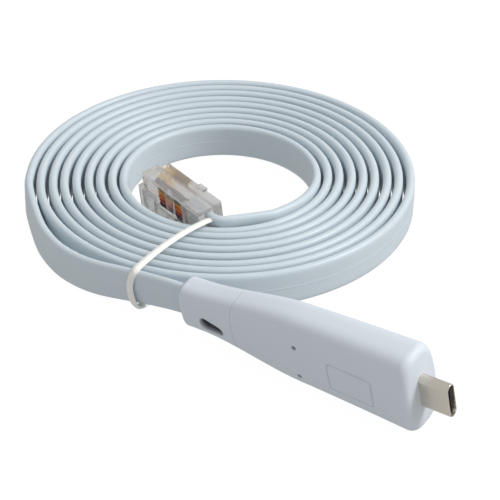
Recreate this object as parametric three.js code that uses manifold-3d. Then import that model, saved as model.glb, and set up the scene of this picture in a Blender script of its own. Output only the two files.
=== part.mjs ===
// Flat console cable: a moulded converter housing with a USB-C plug, a coiled flat cable, a clear
// eight-way modular plug on the cable's inner end, and a band that holds the coil together.
// Millimetres, +Z up. The housing lies along +X with its plug at the +X end, on the floor z = 0.
import * as THREE from 'three';
import { mergeVertices } from 'three/addons/utils/BufferGeometryUtils.js';
import Module from 'manifold-3d';

const wasm = await Module();
wasm.setup();

// Flat cable
const cableWidth = 8.5;
const cableThickness = 1.95;
const touchGap = 0.3; // air between two pieces that touch on the real product

// Coil: turns that stand on their narrow edge, wound round an upright axis
const coilCentre = new THREE.Vector2(-22.4, 45.1); // from the foot of the housing's cable end
const ringTurns = 8;
const turnPitch = 2.7;
const outerTurnRadius = 43.5; // middle of the ring's outermost turn
const grooveDepth = 1.6; // between two turns, on both ends of the ring
const crestRound = 0.3; // taken off each side of a turn's narrow edge
const ringSegments = 56;

// Housing, in its own frame: x along its axis from the cable end, z up its broad side
const housingLength = 58;
const collarHeight = 12.1;
const collarThickness = 6.6;
const waistHeight = 18.5; // where the flare ends
const bodyHeight = 20.4; // at the plug end
const bodyThickness = 10.2;
const flareStart = 4.4;
const flareEnd = 33;
const collarRound = 0.9; // rounding of the rim at the cable end
const bodyRound = 1.6; // rounding of the rim at the plug end
const housingRoll = 12; // degrees, top edge leaning towards -Y
const collarLift = 7.6; // height of the axis at the cable end

// Slot and pin holes in the housing's broad side
const slotLength = 6;
const slotHeight = 2.5;
const slotDepth = 2.4;
const slotCentreX = 9.8;
const slotCentreZ = -1.7;
const pinHoleRadius = 0.45;
const pinHoleDepth = 1.6;
const pinHoleX = 32;
const pinHoleSpacing = 7.1;

// USB-C plug
const shellWidth = 8.3;
const shellHeight = 2.45;
const shellWall = 0.28;
const shellReach = 6.9; // stands out of the housing
const shellSeat = 5; // hidden in the housing
const shellClearance = 0.2;
const insertRecess = 0.7; // from the mouth to the insert's front
const insertClearance = 0.12;
const insertMouthWidth = 6.7;
const insertMouthHeight = 0.8;
const insertMouthDepth = 4.6;

// Clear modular plug, in its own frame: x from the rear to the nose, y towards the latch side,
// z up its width
const plugLength = 22;
const plugThickness = 6.6;
const plugWidth = 11.7;
const plugRear = new THREE.Vector2(-13.15, 28.67); // middle of the rear face
const plugHeading = 161.9; // degrees, from the rear to the nose
const plugRoll = 10; // degrees, top edge leaning away from the coil's middle
const contactCount = 8;
const contactPitch = 1.02;
const contactThickness = 0.32;
const contactHeight = 3.4;
const contactLength = 3.2;
const contactClearance = 0.1;
const contactFromNose = 1.2;
const contactSink = 0.25; // the blades' edges stay this far below the plug's face
const bayWidth = 9.2; // space in the plug for the cable's jacket
const bayThickness = 2.6;
const bayDepth = 8.2;
const jacketStart = 0; // the moulded-in end of the jacket begins at the rear face
const jacketInPlug = 7.2;
const wireBayWidth = 8.9;
const wireBayThickness = 1.5;
const wireBayEnd = 17.2; // from the rear face
const wireRadius = 0.42;
const wireFree = 0.25; // air at both ends of a wire
const keyWindowStart = 9.6; // opening in the latch side over the wires
const keyWindowLength = 3.4;
const keyWindowWidth = 6.6;
const latchRoot = 1.3; // length of the root under the nose
const latchLength = 15.2;
const latchWidth = 6;
const latchTipWidth = 3.2;
const latchThickness = 1;
const latchNeck = 6.4; // length of the wide part behind the nose
const latchStand = 1; // gap between the latch and the plug at the root
const latchLift = 2; // the same gap at the latch's free end

// Band round the coil, in an upright plane
const bandWidth = 1.5;
const bandThickness = 0.7;
const bandBend = 1; // inner radius at its corners
const bandFoot = new THREE.Vector2(-15.2, -0.15); // on the tail's middle line
const bandHeading = 81.9; // degrees, from the tail to the cable's inner end
const bandReach = 28.65; // from the tail's middle line to the inner end's middle line
const tailLiftAtBand = 5.6; // height of the tail's middle line in the band

const roundSteps = 12; // flat facets on each round edge of a moulding
const deg = Math.PI / 180;

// Solids

function solidOf(geometry) {
  const copy = geometry.clone();
  copy.deleteAttribute('normal');
  copy.deleteAttribute('uv');
  const merged = mergeVertices(copy, 1e-4);
  const vertProperties = new Float32Array(merged.attributes.position.array);
  const triVerts = new Uint32Array(merged.index.array);
  return new wasm.Manifold(new wasm.Mesh({ numProp: 3, vertProperties, triVerts }));
}

function geometryOf(solid) {
  const mesh = solid.getMesh();
  const geometry = new THREE.BufferGeometry();
  geometry.setAttribute('position', new THREE.BufferAttribute(new Float32Array(mesh.vertProperties), 3));
  geometry.setIndex(Array.from(mesh.triVerts));
  return geometry;
}

function minus(geometry, cutters) {
  const cut = cutters.reduce((solid, cutter) => solid.subtract(solidOf(cutter)), solidOf(geometry));
  return geometryOf(cut);
}

function plus(geometry, others) {
  const joined = others.reduce((solid, other) => solid.add(solidOf(other)), solidOf(geometry));
  return geometryOf(joined);
}

function box(x0, x1, y0, y1, z0, z1) {
  const geometry = new THREE.BoxGeometry(x1 - x0, y1 - y0, z1 - z0);
  return geometry.translate((x0 + x1) / 2, (y0 + y1) / 2, (z0 + z1) / 2);
}

// Outline of a flat bar with round edges: width along its first axis, thickness along its second.
function flatRound(width, thickness, steps) {
  const half = thickness / 2;
  const centre = width / 2 - half;
  const points = [];
  for (const side of [1, -1]) {
    for (let i = 0; i <= steps; i += 1) {
      const angle = (i / steps - 0.5) * Math.PI;
      points.push(new THREE.Vector2(side * (centre + half * Math.cos(angle)), side * half * Math.sin(angle)));
    }
  }
  return points;
}

// A solid through rings of points; each ring has as many points as the first and turns from its
// second axis to its third as seen from its far end.
function loft(rings) {
  const count = rings[0].length;
  const positions = rings.flat().flatMap((p) => [p.x, p.y, p.z]);
  const index = [];
  for (let i = 0; i + 1 < rings.length; i += 1) {
    for (let j = 0; j < count; j += 1) {
      const a = i * count + j;
      const b = i * count + ((j + 1) % count);
      index.push(a, b, b + count, a, b + count, a + count);
    }
  }
  for (const end of [0, rings.length - 1]) {
    const middle = rings[end].reduce((sum, p) => sum.add(p), new THREE.Vector3()).divideScalar(count);
    const hub = positions.length / 3;
    positions.push(middle.x, middle.y, middle.z);
    for (let j = 0; j < count; j += 1) {
      const a = end * count + j;
      const b = end * count + ((j + 1) % count);
      index.push(...(end === 0 ? [hub, b, a] : [hub, a, b]));
    }
  }
  const geometry = new THREE.BufferGeometry();
  geometry.setAttribute('position', new THREE.Float32BufferAttribute(positions, 3));
  geometry.setIndex(index);
  return geometry;
}

// Flat bar with round edges along x, its width along z.
function flatBar(x0, x1, width, thickness, steps) {
  const ring = (x) => flatRound(width, thickness, steps).map((p) => new THREE.Vector3(x, -p.y, p.x));
  return loft([ring(x0), ring(x1)]);
}

// Housing

function flare(x) {
  const t = THREE.MathUtils.clamp((x - flareStart) / (flareEnd - flareStart), 0, 1);
  return t * t * (3 - 2 * t);
}

function heightAt(x) {
  const taper = THREE.MathUtils.clamp((x - flareEnd) / (housingLength - flareEnd), 0, 1);
  return collarHeight + (waistHeight - collarHeight) * flare(x) + (bodyHeight - waistHeight) * taper;
}

function thicknessAt(x) {
  return collarThickness + (bodyThickness - collarThickness) * flare(x);
}

function housingRing(x, inset) {
  const outline = flatRound(heightAt(x) - 2 * inset, thicknessAt(x) - 2 * inset, roundSteps);
  return outline.map((p) => new THREE.Vector3(x, -p.y, p.x));
}

function housingSolid() {
  const rings = [];
  const rimSteps = 4;
  for (let i = 0; i < rimSteps; i += 1) {
    const angle = (i / rimSteps) * Math.PI / 2;
    rings.push(housingRing(collarRound * (1 - Math.cos(angle)), collarRound * (1 - Math.sin(angle))));
  }
  const stations = 18;
  for (let i = 0; i <= stations; i += 1) {
    const x = collarRound + (i / stations) * (housingLength - collarRound - bodyRound);
    rings.push(housingRing(x, 0));
  }
  for (let i = 1; i <= rimSteps; i += 1) {
    const angle = (i / rimSteps) * Math.PI / 2;
    const x = housingLength - bodyRound * (1 - Math.sin(angle));
    rings.push(housingRing(x, bodyRound * (1 - Math.cos(angle))));
  }
  return loft(rings);
}

function sideSlot() {
  const shape = new THREE.Shape(flatRound(slotLength, slotHeight, 8));
  const slot = new THREE.ExtrudeGeometry(shape, { depth: slotDepth * 2, bevelEnabled: false });
  slot.rotateX(Math.PI / 2);
  return slot.translate(slotCentreX, slotDepth - thicknessAt(slotCentreX) / 2, slotCentreZ);
}

function pinHole(side) {
  const hole = new THREE.CylinderGeometry(pinHoleRadius, pinHoleRadius, pinHoleDepth * 2, 12);
  return hole.translate(pinHoleX, -thicknessAt(pinHoleX) / 2, (side * pinHoleSpacing) / 2);
}

function shellSocket() {
  const width = shellWidth + 2 * shellClearance;
  const thickness = shellHeight + 2 * shellClearance;
  return flatBar(housingLength - shellSeat - touchGap, housingLength + 1, width, thickness, roundSteps);
}

function converterHousing() {
  return minus(housingSolid(), [sideSlot(), pinHole(1), pinHole(-1), shellSocket()]);
}

// USB-C plug, along the housing's axis

const shellBack = housingLength - shellSeat;
const shellFront = housingLength + shellReach;

function usbShell() {
  const outer = flatBar(shellBack, shellFront, shellWidth, shellHeight, roundSteps);
  const bore = flatBar(shellBack - 1, shellFront + 1, shellWidth - 2 * shellWall, shellHeight - 2 * shellWall, roundSteps);
  return minus(outer, [bore]);
}

function usbInsert() {
  const slack = 2 * (shellWall + insertClearance);
  const front = shellFront - insertRecess;
  const core = flatBar(shellBack, front, shellWidth - slack, shellHeight - slack, roundSteps);
  const mouth = flatBar(front - insertMouthDepth, front + 1, insertMouthWidth, insertMouthHeight, roundSteps);
  return minus(core, [mouth]);
}

// Coil

function turnRadius(turn) {
  return outerTurnRadius - turn * turnPitch;
}

const ringInner = turnRadius(ringTurns - 1) - cableThickness / 2;
const ringOuter = outerTurnRadius + cableThickness / 2;

function ringProfile() {
  const crest = cableThickness / 2 - crestRound;
  const top = [];
  for (let turn = ringTurns - 1; turn >= 0; turn -= 1) {
    const radius = turnRadius(turn);
    top.push([radius - crest, 0], [radius + crest, 0]);
    if (turn > 0) {
      top.push([radius + turnPitch / 2, grooveDepth]);
    }
  }
  const edge = [[ringOuter, crestRound], [ringOuter, cableWidth - crestRound]];
  const foot = top.slice().reverse();
  const points = [
    [ringInner, cableWidth - crestRound],
    ...top.map(([radius, down]) => [radius, cableWidth - down]),
    edge[1],
    edge[0],
    ...foot.map(([radius, down]) => [radius, down]),
    [ringInner, crestRound],
    [ringInner, cableWidth - crestRound],
  ];
  return points.reverse().map(([radius, z]) => new THREE.Vector2(radius, z));
}

function cableCoil() {
  const ring = new THREE.LatheGeometry(ringProfile(), ringSegments);
  ring.rotateX(Math.PI / 2);
  ring.translate(coilCentre.x, coilCentre.y, 0);
  return minus(ring, [bandPassage()]);
}

// A flat cable along a route, its width upright.
function cableAlong(points, stepLength) {
  const route = new THREE.CatmullRomCurve3(points, false, 'centripetal');
  const shape = new THREE.Shape(flatRound(cableWidth, cableThickness, 5));
  const steps = Math.ceil(route.getLength() / stepLength);
  return new THREE.ExtrudeGeometry(shape, { steps, extrudePath: route, bevelEnabled: false });
}

function aroundCoil(radius, azimuth, z) {
  const x = coilCentre.x + radius * Math.cos(azimuth * deg);
  const y = coilCentre.y + radius * Math.sin(azimuth * deg);
  return new THREE.Vector3(x, y, z);
}

// The outer end: beside the ring's outermost turn, over the band's foot and up to the housing.
const tailPoints = [
  [-50.6, 9, 4.25],
  [-43.9, 4.7, 4.25],
  [-36.55, 1.5, 4.25],
  [-28.8, -0.25, 4.35],
  [-22.4, -0.7, 4.8],
  [-17.6, -0.45, 5.35],
  [bandFoot.x, bandFoot.y, tailLiftAtBand],
  [-9, 0.2, 6.6],
  [-5, 0.2, 7.2],
  [-2, 0.05, 7.5],
  [-0.05 - touchGap, 0, collarLift],
];

function tailRoute() {
  return tailPoints.map(([x, y, z]) => new THREE.Vector3(x, y, z));
}

// The inner end: a short bend out of the clear plug, then one more turn inside the ring.
const leadBend = [
  [-12.39, 28.42],
  [-10.95, 28.21],
  [-9.52, 28.51],
];
const leadStart = -48.3; // azimuths round the coil, in degrees
const leadEnd = 275.5;
const leadStartRadius = 21.2;

function leadRoute() {
  const away = -touchGap;
  const start = [plugRear.x + away * Math.cos(plugHeading * deg), plugRear.y + away * Math.sin(plugHeading * deg)];
  const points = [start, ...leadBend].map(([x, y]) => new THREE.Vector3(x, y, plugAxisHeight));
  const endRadius = ringInner - touchGap - cableThickness / 2;
  const steps = 14;
  for (let i = 0; i <= steps; i += 1) {
    const t = i / steps;
    const lift = (1 - THREE.MathUtils.smoothstep(t, 0, 0.2)) * (plugAxisHeight - cableWidth / 2);
    const radius = leadStartRadius + (endRadius - leadStartRadius) * t;
    points.push(aroundCoil(radius, leadStart + (leadEnd - leadStart) * t, cableWidth / 2 + lift));
  }
  return points;
}

// Clear modular plug

const plugAxisHeight = (plugWidth / 2) * Math.cos(plugRoll * deg) + (plugThickness / 2) * Math.sin(plugRoll * deg);

function latch() {
  const tip = plugLength - latchLength;
  const face = plugThickness / 2;
  const half = latchWidth / 2;
  const root = box(plugLength - latchRoot, plugLength, face - 0.5, face + latchStand + latchThickness, -half, half);
  const tipStart = plugLength - latchNeck - 1;
  const outline = [
    new THREE.Vector2(plugLength - latchRoot / 2, -half),
    new THREE.Vector2(plugLength - latchRoot / 2, half),
    new THREE.Vector2(plugLength - latchNeck, half),
    new THREE.Vector2(tipStart, latchTipWidth / 2),
    new THREE.Vector2(tip, latchTipWidth / 2),
    new THREE.Vector2(tip, -latchTipWidth / 2),
    new THREE.Vector2(tipStart, -latchTipWidth / 2),
    new THREE.Vector2(plugLength - latchNeck, -half),
  ];
  const arm = new THREE.ExtrudeGeometry(new THREE.Shape(outline), { depth: latchThickness, bevelEnabled: false });
  arm.rotateX(Math.PI / 2);
  arm.translate(latchRoot / 2 - plugLength, latchThickness, 0);
  arm.rotateZ(-Math.atan2(latchLift - latchStand, latchLength - latchRoot));
  arm.translate(plugLength - latchRoot / 2, face + latchStand - 0.02, 0);
  return plus(root, [arm]);
}

function contactPlace(i) {
  return (i - (contactCount - 1) / 2) * contactPitch;
}

function plugBody() {
  const half = plugThickness / 2;
  const block = box(0, plugLength, -half, half, -plugWidth / 2, plugWidth / 2);
  const wireBay = box(bayDepth - 1, wireBayEnd, -wireBayThickness / 2, wireBayThickness / 2, -wireBayWidth / 2, wireBayWidth / 2);
  const keyWindow = box(keyWindowStart, keyWindowStart + keyWindowLength, 0, half + 1, -keyWindowWidth / 2, keyWindowWidth / 2);
  const cutters = [flatBar(-1, bayDepth, bayWidth, bayThickness, roundSteps), wireBay, keyWindow];
  const slotHalf = contactThickness / 2 + contactClearance;
  for (let i = 0; i < contactCount; i += 1) {
    const z = contactPlace(i);
    const front = plugLength - contactFromNose + contactClearance;
    const back = front - contactLength - 2 * contactClearance;
    const depth = contactSink + contactHeight + contactClearance - half;
    cutters.push(box(back, front, -half - 1, depth, z - slotHalf, z + slotHalf));
  }
  return minus(plus(block, [latch()]), cutters);
}

function contactBlade(i) {
  const front = plugLength - contactFromNose;
  const edge = contactSink - plugThickness / 2;
  const z = contactPlace(i);
  return box(front - contactLength, front, edge, edge + contactHeight, z - contactThickness / 2, z + contactThickness / 2);
}

function wire(i) {
  const front = wireBayEnd - wireFree;
  const back = jacketInPlug + wireFree;
  const core = new THREE.CylinderGeometry(wireRadius, wireRadius, front - back, 10);
  core.rotateZ(-Math.PI / 2);
  return core.translate((front + back) / 2, 0, contactPlace(i));
}

// The end of the cable's jacket, inside the plug.
function jacketEnd() {
  return flatBar(jacketStart, jacketInPlug, cableWidth, cableThickness, 5);
}

// Band

const bandFloor = bandThickness + touchGap; // lowest place of what the band goes under

function bandCorners() {
  const away = cableThickness / 2 + touchGap - bandBend;
  const low = bandBend + bandThickness;
  const tailTop = tailLiftAtBand + cableWidth / 2 + touchGap - bandBend;
  const leadTop = plugAxisHeight + cableWidth / 2 + touchGap - bandBend;
  return [
    new THREE.Vector2(-away, low),
    new THREE.Vector2(bandReach + away, low),
    new THREE.Vector2(bandReach + away, leadTop),
    new THREE.Vector2(-away, tailTop),
  ];
}

// A belt round four pegs of one radius, the pegs given anticlockwise.
function beltPoints(pegs, radius) {
  const points = [];
  pegs.forEach((peg, i) => {
    const before = pegs[(i + pegs.length - 1) % pegs.length];
    const after = pegs[(i + 1) % pegs.length];
    const from = Math.atan2(peg.y - before.y, peg.x - before.x) - Math.PI / 2;
    let to = Math.atan2(after.y - peg.y, after.x - peg.x) - Math.PI / 2;
    while (to < from) {
      to += 2 * Math.PI;
    }
    for (let step = 0; step <= 6; step += 1) {
      const angle = from + ((to - from) * step) / 6;
      points.push(new THREE.Vector2(peg.x + radius * Math.cos(angle), peg.y + radius * Math.sin(angle)));
    }
  });
  return points;
}

function placeOnBandPlane(geometry) {
  geometry.rotateX(Math.PI / 2);
  geometry.translate(0, bandWidth / 2, 0);
  geometry.rotateZ(bandHeading * deg);
  return geometry.translate(bandFoot.x, bandFoot.y, 0);
}

function tieBand() {
  const shape = new THREE.Shape(beltPoints(bandCorners(), bandBend + bandThickness));
  shape.holes.push(new THREE.Path(beltPoints(bandCorners(), bandBend)));
  return placeOnBandPlane(new THREE.ExtrudeGeometry(shape, { depth: bandWidth, bevelEnabled: false }));
}

// The room under the ring for the band.
function bandPassage() {
  const half = bandWidth / 2 + touchGap;
  const passage = box(-10, bandReach + 10, -half, half, -1, bandFloor);
  passage.rotateZ(bandHeading * deg);
  return passage.translate(bandFoot.x, bandFoot.y, 0);
}

// Finishes

const finish = (color, roughness, metalness) => new THREE.MeshStandardMaterial({ color, roughness, metalness });
const finishes = {
  housing: finish(0xc3ccdd, 0.5, 0),
  jacket: finish(0xc2d4e2, 0.45, 0),
  shell: finish(0x9c9188, 0.3, 1),
  insert: finish(0x101012, 0.6, 0),
  clear: finish(0xe6e8e6, 0.1, 0),
  gold: finish(0xc9a03a, 0.3, 1),
  band: finish(0xf2efe8, 0.5, 0),
};
const wireColours = [0x3a2c26, 0x1a1a1c, 0xc9a227, 0xc4631c, 0x9c2018, 0x1f5a32, 0x1d3f86, 0xdad8d2];

function piece(name, geometry, material) {
  const mesh = new THREE.Mesh(geometry, material);
  mesh.name = name;
  return mesh;
}

// Assembly

const converter = new THREE.Group();
const lowestSide = (x) => ((heightAt(x) - thicknessAt(x)) / 2) * Math.cos(housingRoll * deg) + thicknessAt(x) / 2;
const housingPitch = Math.atan2(lowestSide(housingLength) - collarLift, housingLength);
converter.rotation.set(housingRoll * deg, -housingPitch, 0, 'YXZ');
converter.position.set(0, 0, collarLift);
converter.add(
  piece('converter_housing', converterHousing(), finishes.housing),
  piece('usb_c_shell', usbShell(), finishes.shell),
  piece('usb_c_insert', usbInsert(), finishes.insert),
);

const modularPlug = new THREE.Group();
modularPlug.rotation.set(-plugRoll * deg, 0, plugHeading * deg, 'ZYX');
modularPlug.position.set(plugRear.x, plugRear.y, plugAxisHeight);
modularPlug.add(piece('modular_plug_body', plugBody(), finishes.clear));
modularPlug.add(piece('cable_jacket_end', jacketEnd(), finishes.jacket));
for (let i = 0; i < contactCount; i += 1) {
  modularPlug.add(piece(`plug_contact_${i + 1}`, contactBlade(i), finishes.gold));
  modularPlug.add(piece(`plug_wire_${i + 1}`, wire(i), finish(wireColours[i], 0.5, 0)));
}

const cable = new THREE.Group();
cable.add(
  piece('cable_coil', cableCoil(), finishes.jacket),
  piece('cable_tail', cableAlong(tailRoute(), 1.6), finishes.jacket),
  piece('cable_lead', cableAlong(leadRoute(), 2), finishes.jacket),
  piece('tie_band', tieBand(), finishes.band),
);

const consoleCable = new THREE.Group();
consoleCable.add(converter, modularPlug, cable);

// The housing lies on the floor, and the origin is there, below the middle of the housing with its plug.
converter.position.z -= new THREE.Box3().setFromObject(converter, true).min.z;
const middle = new THREE.Box3().setFromObject(converter, true).getCenter(new THREE.Vector3());
consoleCable.position.set(-middle.x, -middle.y, 0);

export default consoleCable;
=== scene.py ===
import math

import bpy
import numpy as np
from mathutils import Matrix, Vector


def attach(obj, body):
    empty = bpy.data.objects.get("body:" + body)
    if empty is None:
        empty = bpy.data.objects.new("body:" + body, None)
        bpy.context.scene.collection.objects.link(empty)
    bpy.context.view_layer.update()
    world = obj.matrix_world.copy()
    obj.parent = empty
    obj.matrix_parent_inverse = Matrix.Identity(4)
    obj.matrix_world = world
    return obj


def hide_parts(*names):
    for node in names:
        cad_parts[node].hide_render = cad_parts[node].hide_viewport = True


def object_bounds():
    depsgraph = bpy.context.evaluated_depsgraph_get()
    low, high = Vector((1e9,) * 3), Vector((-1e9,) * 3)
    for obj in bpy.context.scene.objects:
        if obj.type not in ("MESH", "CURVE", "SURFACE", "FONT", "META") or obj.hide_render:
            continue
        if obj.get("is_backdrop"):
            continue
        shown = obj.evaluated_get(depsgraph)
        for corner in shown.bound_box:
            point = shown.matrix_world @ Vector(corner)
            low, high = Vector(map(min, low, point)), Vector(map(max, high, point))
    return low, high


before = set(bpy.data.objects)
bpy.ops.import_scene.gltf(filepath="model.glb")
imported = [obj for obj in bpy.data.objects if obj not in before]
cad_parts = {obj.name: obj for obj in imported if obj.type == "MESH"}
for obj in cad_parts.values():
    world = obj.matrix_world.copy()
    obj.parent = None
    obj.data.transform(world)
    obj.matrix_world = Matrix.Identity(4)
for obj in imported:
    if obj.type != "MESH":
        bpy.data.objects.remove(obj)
cadLow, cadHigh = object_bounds()

mm = 0.001
deg = math.pi / 180
housingFoot = np.array([-32.3987, 0.0, 0.0])  # below the middle of the housing's cable end, in mm
coilCentre = np.array([-22.4, 45.1])  # from there


# Row frame in metres = (point from the housing's foot in mm + housingFoot) / 1000.
def toRow(points):
    return (np.asarray(points, float) + housingFoot) * mm


# Quads of a grid of nu by nv points; wrapU and wrapV close it along either direction.
def gridQuads(nu, nv, wrapU, wrapV):
    i = np.arange(nu if wrapU else nu - 1)
    j = np.arange(nv if wrapV else nv - 1)
    rows, cols = np.meshgrid(i, j, indexing="ij")
    nextRow, nextCol = (rows + 1) % nu, (cols + 1) % nv
    quads = [rows * nv + cols, rows * nv + nextCol, nextRow * nv + nextCol, nextRow * nv + cols]
    return np.stack(quads, -1).reshape(-1, 4)


# Makes a piece from points (n by 3, metres) and faces; smooth, with edges sharper than angle kept.
def makePiece(name, points, faces, material, angle=35.0):
    mesh = bpy.data.meshes.new(name)
    mesh.from_pydata(np.asarray(points, float).reshape(-1, 3).tolist(), [], [list(f) for f in faces])
    mesh.polygons.foreach_set("use_smooth", np.ones(len(mesh.polygons), bool))
    mesh.set_sharp_from_angle(angle=angle * deg)
    mesh.materials.append(material)
    piece = bpy.data.objects.new(name, mesh)
    bpy.context.scene.collection.objects.link(piece)
    return piece


# Joins point and face lists; face numbers shift by the points that came before.
def joined(parts):
    points, faces, count = [], [], 0
    for partPoints, partFaces in parts:
        partPoints = np.asarray(partPoints, float).reshape(-1, 3)
        points.append(partPoints)
        faces += [[int(k) + count for k in f] for f in partFaces]
        count += len(partPoints)
    return np.vstack(points), faces


# A closed skin through rings (count by around by 3), with flat ends.
def skin(rings):
    rings = np.asarray(rings, float)
    count, around = rings.shape[:2]
    faces = gridQuads(count, around, False, True).tolist()
    faces.append(list(range(around))[::-1])
    faces.append([(count - 1) * around + k for k in range(around)])
    return rings.reshape(-1, 3), faces


# Outline of a flat bar with round edges: along = side * (width - thickness) / 2 + r cos(angle),
# across = r sin(angle), r = thickness / 2, the angle going round anticlockwise.
def flatRound(width, thickness, steps):
    half = thickness / 2
    turn = np.linspace(-90, 90, steps + 1) * deg
    right = np.stack([width / 2 - half + half * np.cos(turn), half * np.sin(turn)], 1)
    return np.vstack([right, -right])


# Catmull-Rom curve through points, resampled to even steps of the given length.
def smoothRoute(points, step):
    points = np.asarray(points, float)
    padded = np.vstack([2 * points[0] - points[1], points, 2 * points[-1] - points[-2]])
    fine = np.linspace(0, 1, 12, endpoint=False)[None, :, None]
    a, b, c, d = (padded[k : len(padded) - 3 + k, None, :] for k in range(4))
    square, cube = 2 * a - 5 * b + 4 * c - d, 3 * b - a - 3 * c + d
    curve = 0.5 * (2 * b + (c - a) * fine + square * fine**2 + cube * fine**3)
    curve = np.vstack([curve.reshape(-1, points.shape[1]), points[-1]])
    run = np.r_[0, np.cumsum(np.linalg.norm(np.diff(curve, axis=0), axis=1))]
    even = np.linspace(0, run[-1], int(math.ceil(run[-1] / step)) + 1)
    return np.stack([np.interp(even, run, curve[:, k]) for k in range(curve.shape[1])], 1), even


# 3 t^2 - 2 t^3, with t going from 0 at low to 1 at high.
def smoothstep(x, low, high):
    t = np.clip((x - low) / (high - low), 0, 1)
    return t * t * (3 - 2 * t)


print("stage: helpers")

# Camera: looks at target from distance, along a level heading and down by its elevation
camera = dict(target=(-6.0, 32.7, 0.0), distance=445.0, heading=(-0.5807, 0.8141), elevation=33.3, lens=144.0)


def makeCamera(s):
    e = s["elevation"] * deg
    forward = Vector((s["heading"][0] * math.cos(e), s["heading"][1] * math.cos(e), -math.sin(e)))
    data = bpy.data.cameras.new("viewCamera")
    data.lens = s["lens"]
    data.sensor_width = 36.0
    data.clip_start = 0.01
    data.clip_end = 10.0
    view = bpy.data.objects.new("viewCamera", data)
    view.rotation_mode = "QUATERNION"
    view.rotation_quaternion = forward.to_track_quat("-Z", "Y")
    view.location = Vector(toRow(s["target"])) - forward * (s["distance"] * mm)
    bpy.context.scene.collection.objects.link(view)
    bpy.context.scene.camera = view


makeCamera(camera)


# Materials. Each takes its grain from noise on object coordinates, in metres.
def newMaterial(name):
    material = bpy.data.materials.new(name)
    material.use_nodes = True
    nodes = material.node_tree.nodes
    return material, nodes, material.node_tree.links, nodes["Principled BSDF"]


def noiseOf(nodes, links, scale, detail=4.0):
    place = nodes.new("ShaderNodeTexCoord")
    noise = nodes.new("ShaderNodeTexNoise")
    noise.inputs["Scale"].default_value = scale
    noise.inputs["Detail"].default_value = detail
    links.new(place.outputs["Object"], noise.inputs["Vector"])
    return noise.outputs["Fac"]


def ranged(nodes, links, value, low, high):
    change = nodes.new("ShaderNodeMapRange")
    change.inputs["To Min"].default_value = low
    change.inputs["To Max"].default_value = high
    links.new(value, change.inputs["Value"])
    return change.outputs["Result"]


def mixedColour(nodes, links, value, low, high):
    mix = nodes.new("ShaderNodeMix")
    mix.data_type = "RGBA"
    mix.inputs[6].default_value = (*low, 1)
    mix.inputs[7].default_value = (*high, 1)
    links.new(value, mix.inputs[0])
    return mix.outputs[2]


def addBump(nodes, links, value, shader, distance, strength):
    bump = nodes.new("ShaderNodeBump")
    bump.inputs["Distance"].default_value = distance
    bump.inputs["Strength"].default_value = strength
    links.new(value, bump.inputs["Height"])
    links.new(bump.outputs["Normal"], shader.inputs["Normal"])


# Moulded plastic: colour mixed by broad noise, roughness by middle noise, bump by fine noise.
def plastic(name, low, high, roughness, grain, bump=0.15, subsurface=0.0):
    material, nodes, links, shader = newMaterial(name)
    links.new(mixedColour(nodes, links, noiseOf(nodes, links, 40.0), low, high), shader.inputs["Base Color"])
    rough = ranged(nodes, links, noiseOf(nodes, links, 600.0), roughness[0], roughness[1])
    links.new(rough, shader.inputs["Roughness"])
    addBump(nodes, links, noiseOf(nodes, links, grain, 6.0), shader, 0.00004, bump)
    shader.inputs["IOR"].default_value = 1.5
    if subsurface:
        shader.inputs["Subsurface Weight"].default_value = subsurface
        shader.inputs["Subsurface Radius"].default_value = (0.0012, 0.0014, 0.0018)
        shader.inputs["Subsurface Scale"].default_value = 1.0
    return material


# Drawn metal: roughness and bump from noise stretched along one direction.
def drawnMetal(name, low, high, roughness, stretch, bump):
    material, nodes, links, shader = newMaterial(name)
    place = nodes.new("ShaderNodeTexCoord")
    squeeze = nodes.new("ShaderNodeMapping")
    squeeze.inputs["Scale"].default_value = stretch
    noise = nodes.new("ShaderNodeTexNoise")
    noise.inputs["Scale"].default_value = 900.0
    noise.inputs["Detail"].default_value = 5.0
    links.new(place.outputs["Object"], squeeze.inputs["Vector"])
    links.new(squeeze.outputs["Vector"], noise.inputs["Vector"])
    links.new(mixedColour(nodes, links, noise.outputs["Fac"], low, high), shader.inputs["Base Color"])
    rough = ranged(nodes, links, noise.outputs["Fac"], roughness[0], roughness[1])
    links.new(rough, shader.inputs["Roughness"])
    shader.inputs["Metallic"].default_value = 1.0
    addBump(nodes, links, noise.outputs["Fac"], shader, 0.00002, bump)
    return material


# Clear plastic: see-through, with faint haze and flow marks from noise.
def clearPlastic(name, tint, roughness):
    material, nodes, links, shader = newMaterial(name)
    shader.inputs["Base Color"].default_value = (*tint, 1)
    shader.inputs["Transmission Weight"].default_value = 0.84
    shader.inputs["IOR"].default_value = 1.22
    rough = ranged(nodes, links, noiseOf(nodes, links, 300.0), roughness[0], roughness[1])
    links.new(rough, shader.inputs["Roughness"])
    addBump(nodes, links, noiseOf(nodes, links, 500.0, 3.0), shader, 0.00003, 0.2)
    return material


jacketTones = (0.575, 0.65, 0.695), (0.605, 0.68, 0.725)
jacketPlastic = plastic("jacketPlastic", *jacketTones, (0.36, 0.46), 5000.0, 0.12, 0.15)
housingTones = (0.65, 0.705, 0.77), (0.68, 0.735, 0.79)
housingPlastic = plastic("housingPlastic", *housingTones, (0.46, 0.56), 7000.0, 0.25)


# Paints shade into a plastic's colour: mixes it towards the shade colour where the piece's own painted-shade
# attribute rises to 1.
def paintRecessShade(material, shadeColour):
    nodes, links = material.node_tree.nodes, material.node_tree.links
    shader = nodes["Principled BSDF"]
    colour = shader.inputs["Base Color"].links[0].from_socket
    paintedShade = nodes.new("ShaderNodeAttribute")
    paintedShade.attribute_name = "paintedShade"
    mix = nodes.new("ShaderNodeMix")
    mix.data_type = "RGBA"
    mix.inputs[7].default_value = (*shadeColour, 1)
    links.new(paintedShade.outputs["Fac"], mix.inputs[0])
    links.new(colour, mix.inputs[6])
    links.new(mix.outputs[2], shader.inputs["Base Color"])


# Painted shade on the housing: its slot, pin holes, frame outline and seam are darkened in its colour.
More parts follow.
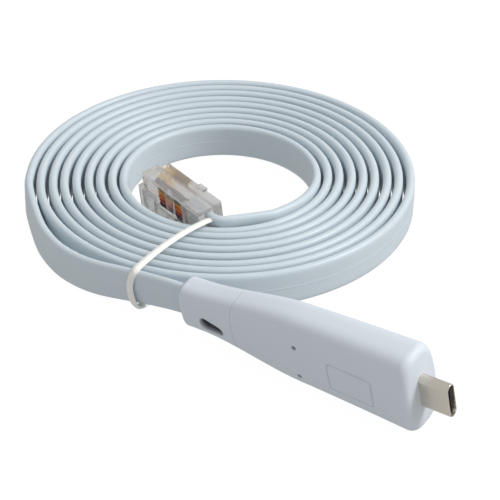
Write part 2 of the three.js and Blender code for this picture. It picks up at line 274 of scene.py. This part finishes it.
paintRecessShade(housingPlastic, (0.045, 0.05, 0.06))
blackTones = (0.010, 0.010, 0.011), (0.016, 0.016, 0.018)
blackPlastic = plastic("blackPlastic", *blackTones, (0.4, 0.55), 5000.0)
bandTones = (0.86, 0.85, 0.82), (0.91, 0.90, 0.87)
bandPlastic = plastic("bandPlastic", *bandTones, (0.4, 0.55), 4000.0, 0.3)
steelTones = (0.72, 0.66, 0.58), (0.82, 0.76, 0.68)
shellSteel = drawnMetal("shellSteel", *steelTones, (0.22, 0.36), (0.06, 1.0, 1.0), 0.25)
goldTones = (0.78, 0.50, 0.16), (0.90, 0.64, 0.26)
contactGold = drawnMetal("contactGold", *goldTones, (0.2, 0.35), (1.0, 1.0, 0.3), 0.2)
clearPlug = clearPlastic("clearPlug", (0.99, 0.985, 0.975), (0.05, 0.16))
print("stage: camera and materials")

# Cable: flat section with round edges and a fine moulded line along the middle of both sides
cable = dict(
    width=8.5,
    thickness=1.95,
    lineHeight=0.06,
    lineHalf=0.2,
    startRadius=44.85,  # of the spiral, straight in front of the coil
    pitch=2.7,
    aside=0.5,  # the turn beside the clear plug stands out this much
    asideTurn=8.05,
    asideHalf=0.13,
    settle=1.0,  # the last turn's end comes this much closer to its neighbour
    settleFrom=8.62,
    settleTo=9.0,
    startAzimuth=305.5,
    firstTurn=0.23,
    lastTurn=8.93,
    restHeight=4.25,
    plugHeight=6.2,
    collarLean=-12.0,
    plugLean=-7.0,
    driftShare=0.42,  # of a drift, shown as lean
    driftPoints=13,  # of the route, averaged
    leanLimit=0.2,
    riseBefore=0.25,
    riseAfter=0.12,
    nearBlend=(3, 26),
    farBlend=(8, 24),
    turnsPerStep=1 / 45,
    step=2.0,
)
# The tail from inside the housing's cable end to the coil, in mm from the housing's foot
tailPoints = [
    (2.6, 0.23, 7.93),
    (-0.8, 0.17, 7.7),
    (-4.3, 0.15, 7.3),
    (-9.0, 0.15, 6.55),
    (-15.2, -0.15, 5.6),
    (-21.3, -0.75, 4.85),
    (-26.9, -0.7, 4.4),
    (-33.4, 0.4, 4.25),
    (-39.7, 3.1, 4.25),
    (-45.4, 6.9, 4.25),
]
# The bend from the coil's inner turn into the clear plug, then straight on inside it
leadPoints = [
    (-8.94, 28.02, 6.2),
    (-9.73, 27.35, 6.2),
    (-10.68, 27.00, 6.2),
    (-11.58, 27.07, 6.2),
    (-12.31, 27.27, 6.2),
    (-15.16, 28.20, 6.2),
    (-18.96, 29.45, 6.2),
]
# How far the turns' upper edges stand out from an even spiral, in mm, at the front, the back and the sides
frontDrift = [0.3, -0.7, -0.4, 0.5, -0.1, -0.5, 0.3, 0.3, 0.7]
backDrift = [0.7, 0.8, 1.0, 0.1, 0.4, -0.4, -0.6, -0.5, -0.9]
sideDrift = [-0.3, 0.2, -0.2, 0.3, 0.1, -0.2, 0.25, 0.0, 0.2]


# Spiral: radius = startRadius - pitch * turns + aside * exp(-((turns - asideTurn) / asideHalf)^2), and
# settle more at the last turn's end; azimuth = startAzimuth - 360 * turns. The last turn rises by a
# smoothstep from restHeight to plugHeight.
def spiral(s, turns):
    push = np.exp(-(((turns - s["asideTurn"]) / s["asideHalf"]) ** 2))
    radius = s["startRadius"] - s["pitch"] * turns + s["aside"] * push
    radius = radius + s["settle"] * smoothstep(turns, s["settleFrom"], s["settleTo"])
    azimuth = (s["startAzimuth"] - 360 * turns) * deg
    x = coilCentre[0] + radius * np.cos(azimuth)
    y = coilCentre[1] + radius * np.sin(azimuth)
    start, stop = s["lastTurn"] - s["riseBefore"], s["lastTurn"] + s["riseAfter"]
    rise = smoothstep(turns, start, stop) * (s["plugHeight"] - s["restHeight"])
    return np.stack([x, y, s["restHeight"] + rise], 1)


def cableRoute(s):
    turns = np.arange(s["firstTurn"], s["lastTurn"], s["turnsPerStep"])
    return smoothRoute(np.vstack([tailPoints, spiral(s, turns), leadPoints]), s["step"])


# Lean of the section in degrees: collarLean and plugLean at the ends, and between them minus the angle
# whose sine is driftShare * drift / (width / 2), no more than leanLimit, the drift averaged over driftPoints.
def cableLean(s, route, run):
    angle = np.arctan2(route[:, 1] - coilCentre[1], route[:, 0] - coilCentre[0]) / deg
    total = np.unwrap((s["startAzimuth"] - angle) * deg) / (2 * math.pi)
    turns = total - np.round(total[0])
    knots, drift = [], []
    for k in range(9):
        knots += [k, k + 0.25, k + 0.5, k + 0.75]
        drift += [frontDrift[k], sideDrift[k], backDrift[k], sideDrift[8 - k]]
    eased = np.interp(turns, knots, drift)
    count, limit = s["driftPoints"], s["leanLimit"]
    window = np.ones(count) / count
    eased = np.convolve(np.pad(eased, count // 2, mode="edge"), window, mode="valid")
    lean = -np.degrees(np.arcsin(np.clip(s["driftShare"] * eased / (s["width"] / 2), -limit, limit)))
    near = 1 - smoothstep(run, *s["nearBlend"])
    far = 1 - smoothstep(run[-1] - run, *s["farBlend"])
    return lean * (1 - near) * (1 - far) + s["collarLean"] * near + s["plugLean"] * far


# Section: (up, across) points, the line on each side raised by lineHeight * (1 - (up / lineHalf)^2).
def cableSection(s):
    half, wide = s["thickness"] / 2, (s["width"] - s["thickness"]) / 2
    turn = np.linspace(-90, 90, 9) * deg
    top = np.stack([wide + half * np.cos(turn), half * np.sin(turn)], 1)
    up = np.array([2.4, 1.4, 0.6, 0.25, 0.2, 0.1, 0.0, -0.1, -0.2, -0.25, -0.6, -1.4, -2.4])
    ridge = s["lineHeight"] * np.clip(1 - (up / s["lineHalf"]) ** 2, 0, 1)
    side = np.stack([up, half + ridge], 1)
    return np.vstack([top, side, -top, -side])


# Ring points = centre + up * upward + across * sideways, both turned by the lean about the tangent.
def makeCable(s):
    route, run = cableRoute(s)
    tangent = np.gradient(route, axis=0)
    tangent /= np.linalg.norm(tangent, axis=1)[:, None]
    upward = np.array([0, 0, 1.0]) - tangent[:, 2:] * tangent
    upward /= np.linalg.norm(upward, axis=1)[:, None]
    sideways = np.cross(tangent, upward)
    lean = cableLean(s, route, run)[:, None] * deg
    leanUp = upward * np.cos(lean) + sideways * np.sin(lean)
    leanSide = sideways * np.cos(lean) - upward * np.sin(lean)
    section = cableSection(s)
    up, across = section[None, :, :1], section[None, :, 1:]
    rings = route[:, None, :] + up * leanUp[:, None, :] + across * leanSide[:, None, :]
    rings[:, :, 2] = np.maximum(rings[:, :, 2], 0.0)
    points, faces = skin(rings)
    return makePiece("flatCable", toRow(points), faces, jacketPlastic, 60.0), route, run


flatCable, cablePath, cableRun = makeCable(cable)
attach(flatCable, "root")
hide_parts("cable_coil", "cable_tail", "cable_lead", "cable_jacket_end")
print("stage: cable", round(float(cableRun[-1]), 1), "mm")

# Housing: an oval section that grows from the cable end, leaning by roll and rising by pitch
housing = dict(
    foot=(1.77, 0.28),
    heading=-1.11,
    length=57.2,
    power=3.0,  # of the section: 2 is an ellipse
    sideShare=0.93,  # of the half height, with even steps along it
    collarHeight=11.1,
    collarThickness=7.4,
    waistHeight=18.0,
    waistThickness=10.2,
    bodyHeight=19.8,
    bodyThickness=11.6,
    flareStart=3.3,
    flareEnd=31.8,
    rise=0.5,
    collarRound=0.9,
    bodyRound=2.0,
    roll=12.0,
    pitch=2.6,
    lift=7.9,
)
houseDetail = dict(
    slotX=8.2,
    slotZ=-1.5,
    slotLength=6.0,
    slotHeight=3.0,
    slotTaper=0.5,
    slotTilt=0.12,
    slotDepth=3.2,
    pinX=30.6,
    pinMiddleZ=-0.6,
    pinZ=4.0,
    pinRadius=0.45,
    pinDepth=1.4,
    frameX=43.6,
    frameZ=-0.7,
    frameLength=10.4,
    frameHeight=7.0,
    frameRound=0.8,
    frameHalf=0.21,
    frameDepth=0.17,
    seamX=14.0,
    seamHalf=0.22,
    seamDepth=0.06,
    # The next two set painted shade: how dark the seam's groove is painted, and the depth at which a
    # pressed-in detail is painted fully dark.
    seamPaintedShade=0.14,
    fullShadeDepth=1.15,
)


# Height and thickness grow by a smoothstep to the waist, then evenly to the plug end.
def houseSize(s, x):
    grow = smoothstep(x, s["flareStart"], s["flareEnd"])
    taper = np.clip((x - s["flareEnd"]) / (s["length"] - s["flareEnd"]), 0, 1)
    height = s["collarHeight"] + (s["waistHeight"] - s["collarHeight"]) * grow
    height = height + (s["bodyHeight"] - s["waistHeight"]) * taper
    thick = s["collarThickness"] + (s["waistThickness"] - s["collarThickness"]) * grow
    return height, thick + (s["bodyThickness"] - s["waistThickness"]) * taper


# Local to housing-foot frame: rolled about the axis, pitched, turned by the heading, moved to the foot.
def housePlace(s, points):
    turn = Matrix.Rotation(s["heading"] * deg, 3, "Z") @ Matrix.Rotation(-s["pitch"] * deg, 3, "Y")
    turn = turn @ Matrix.Rotation(s["roll"] * deg, 3, "X")
    return np.asarray(points, float) @ np.array(turn).T + np.array([*s["foot"], s["lift"]])


# Signed distance to a rounded rectangle of half sizes (a, b) with corner radius r.
def roundedDistance(x, z, a, b, r):
    dx, dz = np.abs(x) - (a - r), np.abs(z) - (b - r)
    outside = np.hypot(np.maximum(dx, 0), np.maximum(dz, 0))
    return outside + np.minimum(np.maximum(dx, dz), 0) - r


# Depth of the details below the front side: the slot, deeper at its top, the pin holes, the outlined
# frame. Each is its full depth times 1 - smoothstep of the distance to its edge.
def houseDepth(d, x, z):
    slotX, slotZ = x - d["slotX"], z - d["slotZ"] + d["slotTilt"] * (x - d["slotX"])
    tall = d["slotHeight"] / 2 * (1 - d["slotTaper"] * np.clip(slotX / d["slotLength"] + 0.1, -0.2, 0.8))
    slot = roundedDistance(slotX, slotZ, d["slotLength"] / 2, tall, tall)
    depth = d["slotDepth"] * (1 - smoothstep(slot, -0.3, 0.1)) * np.clip(0.75 + 0.5 * slotZ / tall, 0.2, 1)
    for side in (-1, 1):
        hole = np.hypot(x - d["pinX"], z - d["pinMiddleZ"] - side * d["pinZ"]) - d["pinRadius"]
        depth = depth + d["pinDepth"] * (1 - smoothstep(hole, -0.1, 0.1))
    a, b = d["frameLength"] / 2, d["frameHeight"] / 2
    edge = roundedDistance(x - d["frameX"], z - d["frameZ"], a, b, d["frameRound"])
    return depth + d["frameDepth"] * (1 - smoothstep(np.abs(edge), d["frameHalf"] * 0.35, d["frameHalf"]))


# Stations along the housing: every coarse step, with finer steps inside each listed stretch.
def stations(length, coarse, stretches):
    parts = [np.arange(0, length + coarse / 2, coarse)]
    parts += [np.arange(low, high, step) for low, high, step in stretches]
    return np.unique(np.round(np.clip(np.concatenate(parts), 0, length), 3))


# Section |y / half thickness|^power + |z / half height|^power = 1, from the top of the front side down,
# round below, up the back and round the top; the front side's details are pressed in along y.
def makeHousing(s, d):
    fine = [(4.6, 11.6, 0.1), (13.7, 14.3, 0.06), (29.9, 31.3, 0.08)]  # slot, seam, pin holes
    fine += [(38.0, 38.9, 0.07), (38.9, 48.3, 0.5), (48.3, 49.2, 0.07)]  # outlined frame
    fine += [(0, 1, 0.08), (s["length"] - 2.1, s["length"], 0.12)]  # rims
    x = stations(s["length"], 0.8, fine)
    height, thick = houseSize(s, x)
    nearEnd = np.clip(1 - x / s["collarRound"], 0, 1)
    farEnd = np.clip(1 - (s["length"] - x) / s["bodyRound"], 0, 1)
    inset = s["collarRound"] * (1 - np.sqrt(1 - nearEnd**2))
    inset = inset + s["bodyRound"] * (1 - np.sqrt(1 - farEnd**2))
    side = s["sideShare"]
    front, back = np.linspace(side, -side, 160), np.linspace(-side, side, 24)
    start = math.asin(side ** (s["power"] / 2))
    turn = np.linspace(start, math.pi - start, 35)[1:-1]
    endY = -np.sign(np.cos(turn)) * np.abs(np.cos(turn)) ** (2 / s["power"])
    endZ = np.sin(turn) ** (2 / s["power"])
    frontY = -((1 - np.abs(front) ** s["power"]) ** (1 / s["power"]))
    backY = (1 - np.abs(back) ** s["power"]) ** (1 / s["power"])
    unitY = np.concatenate([frontY, endY, backY, -endY])[None, :]
    unitZ = np.concatenate([front, -endZ, back, endZ])[None, :]
    isFront = (np.arange(unitY.size) < front.size)[None, :]
    seam = d["seamDepth"] * (1 - smoothstep(np.abs(x - d["seamX"]), d["seamHalf"] * 0.3, d["seamHalf"]))
    y = unitY * (thick / 2 - inset - seam)[:, None]
    z = unitZ * (height / 2 - inset - seam)[:, None]
    xs = x[:, None] + np.zeros_like(y)
    depth = np.where(isFront, houseDepth(d, xs, z), 0)
    y = y + depth
    # Painted shade: the colour darkens as the details are pressed in deeper, and along the seam's groove;
    # stored on the points for the housing's material.
    paintedShade = np.clip(depth / d["fullShadeDepth"], 0, 1) + (seam * d["seamPaintedShade"] / d["seamDepth"])[:, None]
    z = z + (4 * s["rise"] * (x / s["length"]) * (1 - x / s["length"]))[:, None]
    rings = np.stack([xs, y, z], -1)[:, ::-1]
    points, faces = skin(rings)
    piece = makePiece("converterHousing", toRow(housePlace(s, points)), faces, housingPlastic, 40.0)
    values = np.clip(paintedShade[:, ::-1].reshape(-1), 0, 1)
    piece.data.attributes.new("paintedShade", "FLOAT", "POINT").data.foreach_set("value", values)
    return piece


converterHousing = makeHousing(housing, houseDetail)
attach(converterHousing, "root")
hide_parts("converter_housing")
print("stage: housing")

# USB-C shell: a drawn tube of flat-round section, with a turned-in front lip
shell = dict(
    width=8.3,
    thickness=2.45,
    wall=0.28,
    reach=6.5,
    seat=3.0,
    lip=0.14,
    recess=0.7,
    insertLength=5.5,
    insertSlack=0.1,
    mouthWidth=6.7,
    mouthHeight=0.8,
    mouthDepth=4.6,
)


# Profile along the tube: outside from back to front, round the lip, and inside to the back.
def makeShell(s, house):
    end, front = house["length"], house["length"] + s["reach"]
    turn = np.linspace(0, 90, 6) * deg
    outX = front - s["lip"] + s["lip"] * np.sin(turn)
    outIn = s["lip"] - s["lip"] * np.cos(turn)
    outside = [end - s["seat"], end + 0.3, end + 3, front - 1]
    inside = [front, front - 0.2, end + 2, end - s["seat"]]
    x = np.concatenate([outside, outX, inside])
    inset = np.concatenate([[0, 0, 0, 0], outIn, [s["wall"] - 0.05, s["wall"], s["wall"], s["wall"]]])
    rings = []
    for place, inward in zip(x, inset):
        outline = flatRound(s["width"] - 2 * inward, s["thickness"] - 2 * inward, 20)
        rings.append(np.stack([np.full(len(outline), place), -outline[:, 1], outline[:, 0]], 1))
    rings = np.array(rings)
    faces = gridQuads(len(rings), rings.shape[1], True, True).tolist()
    return makePiece("usbShell", toRow(housePlace(house, rings.reshape(-1, 3))), faces, shellSteel, 50.0)


usbShell = makeShell(shell, housing)
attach(usbShell, "root")
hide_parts("usb_c_shell")


# Insulator: a flat-round bar just inside the shell, then back into its mouth.
def makeInsert(s, house):
    front = house["length"] + s["reach"] - s["recess"]
    slack = 2 * s["wall"] + s["insertSlack"]
    outer = s["width"] - slack, s["thickness"] - slack
    mouth = s["mouthWidth"], s["mouthHeight"]
    around = [(front - s["insertLength"], *outer), (front, *outer)]
    around += [(front, *mouth), (front - s["mouthDepth"], *mouth)]
    rings = []
    for place, wide, thick in around:
        outline = flatRound(wide, thick, 14)
        rings.append(np.stack([np.full(len(outline), place), -outline[:, 1], outline[:, 0]], 1))
    points, faces = skin(rings)
    return makePiece("usbInsert", toRow(housePlace(house, points)), faces, blackPlastic, 40.0)


usbInsert = makeInsert(shell, housing)
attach(usbInsert, "root")
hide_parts("usb_c_insert")
print("stage: shell")

# Band: a flat strip with a wire along its middle, bent round the turns and the tail. Its lower run lies
# inside the turns' lower edges, and its upright run beside the clear plug lies inside the innermost turn.
band = dict(
    foot=(-10.9, 0.05),
    heading=92.3,
    reach=25.8,
    bend=1.0,
    width=1.75,
    thickness=0.5,
    wire=0.22,
    away=0.28,
    skew=1.2,
    belly=1.7,
    low=1.78,
    tailLow=2.55,
    bow=1.2,
    bellyTop=10.5,
    skewHeight=9.0,
    wireHalf=0.4,
    tailTop=9.5,
    leadTop=8.0,
)


# A belt round pegs: arcs of the bend's radius joined by straight runs.
def beltRoute(pegs, radius):
    pegs = np.asarray(pegs, float)
    before, after = np.roll(pegs, 1, axis=0), np.roll(pegs, -1, axis=0)
    start = np.arctan2(*(pegs - before).T[::-1]) - math.pi / 2
    stop = np.arctan2(*(after - pegs).T[::-1]) - math.pi / 2
    stop = start + np.mod(stop - start, 2 * math.pi)
    angle = start[:, None] + (stop - start)[:, None] * np.linspace(0, 1, 12)[None, :]
    return (pegs[:, None, :] + radius * np.stack([np.cos(angle), np.sin(angle)], -1)).reshape(-1, 2)


# The upper side is bowed by 4 * bow * part * (1 - part). Over the tail the band slants by skew from top
# to bottom and bulges by belly * sin(pi * height / bellyTop). Its strip has the thickness and the wire's
# round bulge, wire * sqrt(1 - (across / wireHalf)^2).
def makeBand(s):
    part = np.linspace(0, 1, 9)
    over = s["reach"] + s["away"] - part * (s["reach"] + 2 * s["away"])
    top = s["leadTop"] + (s["tailTop"] - s["leadTop"]) * part + 4 * s["bow"] * part * (1 - part)
    pegs = [(-s["away"], s["tailLow"]), (s["reach"] + s["away"], s["low"]), *zip(over, top)]
    line = beltRoute(pegs, s["bend"] + s["thickness"] / 2)
    closed = np.vstack([line, line[:1]])
    run = np.r_[0, np.cumsum(np.linalg.norm(np.diff(closed, axis=0), axis=1))]
    even = np.linspace(0, run[-1], 320, endpoint=False)
    line = np.stack([np.interp(even, run, closed[:, k]) for k in range(2)], 1)
    line = sum(np.roll(line, k, axis=0) for k in range(-4, 5)) / 9
    ahead = np.roll(line, -1, axis=0) - np.roll(line, 1, axis=0)
    ahead /= np.linalg.norm(ahead, axis=1)[:, None]
    outward = np.stack([ahead[:, 1], -ahead[:, 0]], 1)
    across = np.linspace(-1, 1, 15) * s["width"] / 2
    bulge = s["wire"] * np.sqrt(np.clip(1 - (across / s["wireHalf"]) ** 2, 0, 1))
    edge = s["thickness"] / 2 * np.sqrt(np.clip(1 - (np.abs(across) / (s["width"] / 2)) ** 8, 0, 1))
    section = np.vstack([np.stack([across, edge + bulge], 1), np.stack([across[::-1], -edge], 1)])
    flat = line[:, None, :] + outward[:, None, :] * section[None, :, 1:]
    h = s["heading"] * deg
    along = np.array([math.cos(h), math.sin(h)])
    beside = np.array([math.sin(h), -math.cos(h)])
    plan = np.array(s["foot"]) + flat[..., :1] * along + section[None, :, :1] * beside
    near = np.clip(1 - flat[..., :1] / s["reach"], 0, 1)
    belly = s["belly"] * np.sin(math.pi * np.clip(flat[..., 1:] / s["bellyTop"], 0, 1)) * near**4
    plan = plan + beside * (s["skew"] * (0.5 - flat[..., 1:] / s["skewHeight"]) * near - belly)
    rings = np.concatenate([plan, flat[..., 1:]], -1)
    faces = gridQuads(rings.shape[0], rings.shape[1], True, True).tolist()
    return makePiece("tieBand", toRow(rings.reshape(-1, 3)), faces, bandPlastic, 50.0)


tieBand = makeBand(band)
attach(tieBand, "root")
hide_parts("tie_band")
print("stage: band")

# Clear modular plug, in its own frame: x from the rear to the nose, y towards the latch side, z up
plug = dict(
    rear=(-12.31, 27.27),
    heading=161.9,
    roll=7.0,
    height=6.21,
    bevel=0.28,
    wireRadius=0.47,
    pitch=1.02,
    wireStart=6.4,
    wireEnd=19.2,
    wireDepth=1.15,
    contactX=(17.6, 20.4),
    contactY=(-3.05, 0.35),
    contactHalf=0.17,
    contactBevel=0.05,
    wireSink=0.25,
    wireWave=0.08,
    wireSway=0.12,
    swayRate=0.7,
    wireShade=0.8,
)
plugBars = [  # x, y and z ranges
    (0.0, 20.6, -3.3, -0.95, -5.85, 5.85),
    (5.4, 8.0, -3.5, -2.0, 5.87, 6.5),
    (0.0, 21.9, -0.93, 3.3, 4.62, 5.85),
    (0.0, 21.9, -0.93, 3.3, -5.85, -4.62),
    (0.0, 6.9, 1.3, 3.3, -4.6, 4.6),
    (11.9, 13.2, 1.75, 3.3, -4.6, 4.6),
    (19.5, 22.0, -0.93, 3.3, -4.6, 4.6),
    (20.2, 22.0, 3.32, 4.7, -3.0, 3.0),
    (15.2, 20.2, 4.0, 4.9, -3.0, 3.0),
    (6.9, 15.2, 4.3, 5.2, -1.6, 1.6),
]
# Colours of the wires from the bottom up
wireColours = [
    (0.30, 0.30, 0.33),
    (0.05, 0.02, 0.03),
    (0.50, 0.03, 0.02),
    (0.80, 0.20, 0.03),
    (0.85, 0.42, 0.06),
    (0.16, 0.10, 0.09),
    (0.03, 0.022, 0.035),
    (0.075, 0.045, 0.05),
]


# Local to housing-foot frame: rolled away from the coil's middle, turned by the heading, moved to the rear.
def plugPlace(s, points):
    turn = Matrix.Rotation(s["heading"] * deg, 3, "Z") @ Matrix.Rotation(-s["roll"] * deg, 3, "X")
    return np.asarray(points, float) @ np.array(turn).T + np.array([*s["rear"], s["height"]])


# Bar with round edges: rounded rectangle rings, both ends drawn in by the bevel.
def roundBar(bar, bevel):
    x0, x1, y0, y1, z0, z1 = bar
    bevel = min(bevel, (y1 - y0) / 2.2, (z1 - z0) / 2.2)
    corner = np.linspace(0, 90, 4) * deg
    rings = []
    for x, inset in [(x0, bevel * 0.7), (x0 + bevel * 0.7, 0), (x1 - bevel * 0.7, 0), (x1, bevel * 0.7)]:
        outline = []
        for k, (sy, sz) in enumerate([(1, 1), (-1, 1), (-1, -1), (1, -1)]):
            y = (y1 if sy > 0 else y0) - sy * (bevel + inset)
            z = (z1 if sz > 0 else z0) - sz * (bevel + inset)
            angle = corner + k * math.pi / 2
            outline.append(np.stack([y + bevel * np.cos(angle), z + bevel * np.sin(angle)], 1))
        outline = np.vstack(outline)
        rings.append(np.column_stack([np.full(len(outline), x), outline]))
    return skin(rings)


# The plug's body: its bars side by side, with windows between them.
def makePlug(s, bars):
    points, faces = joined([roundBar(bar, s["bevel"]) for bar in bars])
    return makePiece("clearPlugBody", toRow(plugPlace(s, points)), faces, clearPlug, 30.0)


# One wire: a round tube under the windows, its rear end dipping to the jacket. Its middle line is
# wireWave * cos(x - 2 k) across from its depth and wireSway * sin(swayRate * x - k) along from its place.
def makeWire(s, k, colour):
    x = np.linspace(s["wireStart"], s["wireEnd"], 24)
    turn = np.linspace(0, 360, 14, endpoint=False) * deg
    sink = s["wireDepth"] * smoothstep(x, s["wireStart"] - 1, s["wireStart"] + 2.5)
    out = sink - s["wireSink"] + s["wireWave"] * np.cos(x - 2 * k)
    place = (k - 3.5) * s["pitch"] + s["wireSway"] * np.sin(x * s["swayRate"] - k)
    centre = np.stack([x, out, place], 1)
    circle = np.stack([0 * turn, np.cos(turn), np.sin(turn)], 1) * s["wireRadius"]
    points, faces = skin(centre[:, None, :] + circle[None, :, :])
    darker = tuple(c * s["wireShade"] for c in colour)
    material = plastic(f"wirePlastic{k + 1}", darker, colour, (0.3, 0.4), 4000.0)
    return makePiece(f"plugWire{k + 1}", toRow(plugPlace(s, points)), faces, material, 40.0)


# Contacts: eight thin gold blades near the nose, their edges just below the contact side.
def makeContacts(s):
    middles = [(k - 3.5) * s["pitch"] for k in range(8)]
    half = s["contactHalf"]
    bars = [(*s["contactX"], *s["contactY"], middle - half, middle + half) for middle in middles]
    points, faces = joined([roundBar(bar, s["contactBevel"]) for bar in bars])
    return makePiece("plugContacts", toRow(plugPlace(s, points)), faces, contactGold, 30.0)


clearPlugBody = makePlug(plug, plugBars)
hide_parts("modular_plug_body")
plugContacts = makeContacts(plug)
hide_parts(*[f"plug_contact_{k}" for k in range(1, 9)])
plugWires = [makeWire(plug, k, colour) for k, colour in enumerate(wireColours)]
for k, piece in enumerate(plugWires):
    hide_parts(f"plug_wire_{k + 1}")
plugPieces = [clearPlugBody, plugContacts, *plugWires]
for piece in plugPieces:
    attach(piece, "root")
print("stage: clear plug")

# Floor and light. The floor glows more for the camera than it lights the part.
stageLook = dict(size=6.0, count=9, level=-0.00002, world=0.58, bounce=0.44, glow=0.94)
keyLook = dict(place=(0.65, 0.48, 0.85), target=(-0.04, 0.03, 0.0), size=0.5, power=9.4)


def makeFloorPaint(s):
    paint = plastic("floorPaint", (0.115, 0.115, 0.115), (0.125, 0.125, 0.125), (0.85, 0.95), 500.0, 0.02)
    nodes, links = paint.node_tree.nodes, paint.node_tree.links
    shader = nodes["Principled BSDF"]
    shader.inputs["Emission Color"].default_value = (1, 1, 1, 1)
    path = nodes.new("ShaderNodeLightPath")
    glow = ranged(nodes, links, path.outputs["Is Camera Ray"], s["bounce"], s["glow"])
    links.new(glow, shader.inputs["Emission Strength"])
    shader.inputs["Specular IOR Level"].default_value = 0.0
    return paint


def makeFloor(s):
    half = s["size"] / 2
    steps = np.linspace(-half, half, s["count"])
    gx, gy = np.meshgrid(steps, steps, indexing="ij")
    points = np.stack([gx, gy, np.full_like(gx, s["level"])], -1)
    faces = gridQuads(s["count"], s["count"], False, False)[:, ::-1].tolist()
    floor = makePiece("floor", points, faces, makeFloorPaint(s))
    floor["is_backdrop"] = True


def makeLight(name, place, target, size, power):
    data = bpy.data.lights.new(name, "AREA")
    data.shape = "DISK"
    data.size = size
    data.energy = power
    lamp = bpy.data.objects.new(name, data)
    lamp.location = place
    lamp.rotation_mode = "QUATERNION"
    lamp.rotation_quaternion = (Vector(target) - Vector(place)).to_track_quat("-Z", "Y")
    bpy.context.scene.collection.objects.link(lamp)


makeFloor(stageLook)
world = bpy.data.worlds.new("studio")
world.use_nodes = True
world.node_tree.nodes["Background"].inputs["Color"].default_value = (1, 1, 1, 1)
world.node_tree.nodes["Background"].inputs["Strength"].default_value = stageLook["world"]
bpy.context.scene.world = world
makeLight("keyLight", **keyLook)
bpy.context.scene.view_settings.view_transform = "Standard"
print("stage: floor and light")

newLow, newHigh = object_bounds()
growHigh = [round((a - b) / mm, 2) for a, b in zip(newHigh, cadHigh)]
growLow = [round((b - a) / mm, 2) for a, b in zip(newLow, cadLow)]
print("size grows by", growHigh, growLow)
